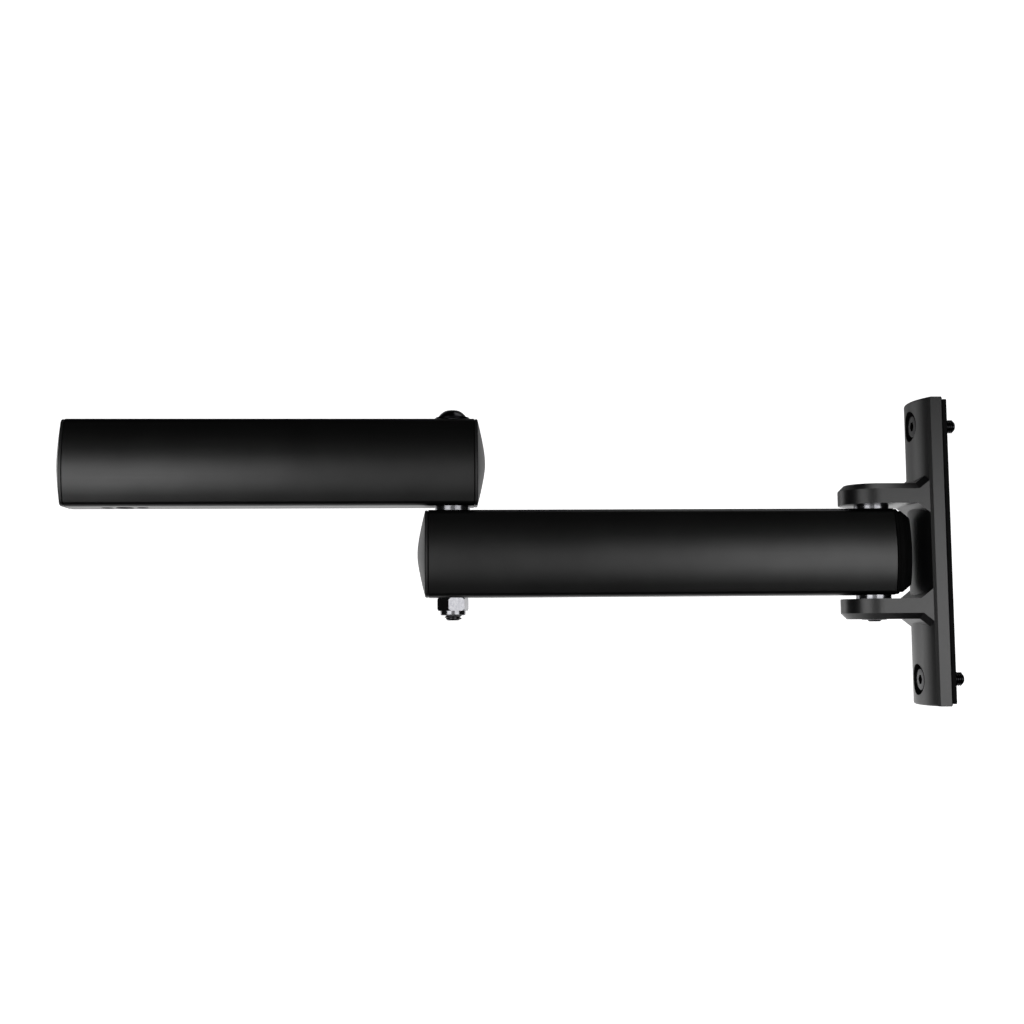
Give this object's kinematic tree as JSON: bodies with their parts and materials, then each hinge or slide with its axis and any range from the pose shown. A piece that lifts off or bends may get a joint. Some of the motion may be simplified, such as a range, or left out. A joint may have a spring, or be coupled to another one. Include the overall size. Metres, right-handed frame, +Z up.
{
  "type": "swing arm wall mount",
  "caption": "Folding two-link swing arm on a cast wall bracket: a lower and an upper bowed-side tube pinned together, with a drilled free end for a device.",
  "frame": {"origin": "centre of the back plate's wall side", "axes": "+X into the wall, +Z up along both hinge axes, the arms reach out along -X"},
  "size_m": [0.521, 0.041, 0.1772],
  "materials": {
    "arm_extrusion": "satin black anodised extrusion",
    "cast_bracket": "satin black powder-coated casting",
    "steel_plate": "black painted steel",
    "fasteners": "black oxide steel",
    "end_caps": "fine-textured black moulding",
    "nylon": "dark nylon",
    "bushes": "grey nylon",
    "sleeves": "turned",
    "device_block": "black anodised block"
  },
  "bodies": {
    "bracket": {"wall_bracket": "cast_bracket", "back_plate": "steel_plate", "wall_screws": "fasteners", "wall_screw_washers": "fasteners", "shoulder_bolt": "fasteners", "shoulder_nut": "fasteners", "shoulder_nut_nylon_ring": "nylon", "shoulder_friction_washers": "fasteners"},
    "inner_arm": {"inner_arm_tube": "arm_extrusion", "inner_arm_elbow_cap": "end_caps", "inner_arm_wall_cap": "end_caps", "shoulder_sleeve": "sleeves", "shoulder_bushes": "bushes", "inner_elbow_sleeve": "sleeves", "elbow_bolt": "fasteners", "elbow_head_washer": "fasteners", "elbow_nut": "fasteners", "elbow_nut_nylon_ring": "nylon", "elbow_friction_washer": "fasteners"},
    "outer_arm": {"outer_arm_tube": "arm_extrusion", "outer_arm_elbow_cap": "end_caps", "outer_arm_end_cap": "end_caps", "outer_elbow_sleeve": "sleeves", "elbow_bushes": "bushes", "device_block": "device_block"}
  },
  "joints": [
    {"name": "shoulder_swivel", "type": "hinge", "parent": "bracket", "child": "inner_arm", "pos_m": [-0.04, 0, 0], "axis": [0, 0, 1], "range_deg": [-90, 90]},
    {"name": "elbow_swivel", "type": "hinge", "parent": "inner_arm", "child": "outer_arm", "pos_m": [-0.285, 0, 0.0525], "axis": [0, 0, 1], "continuous": true}
  ]
}
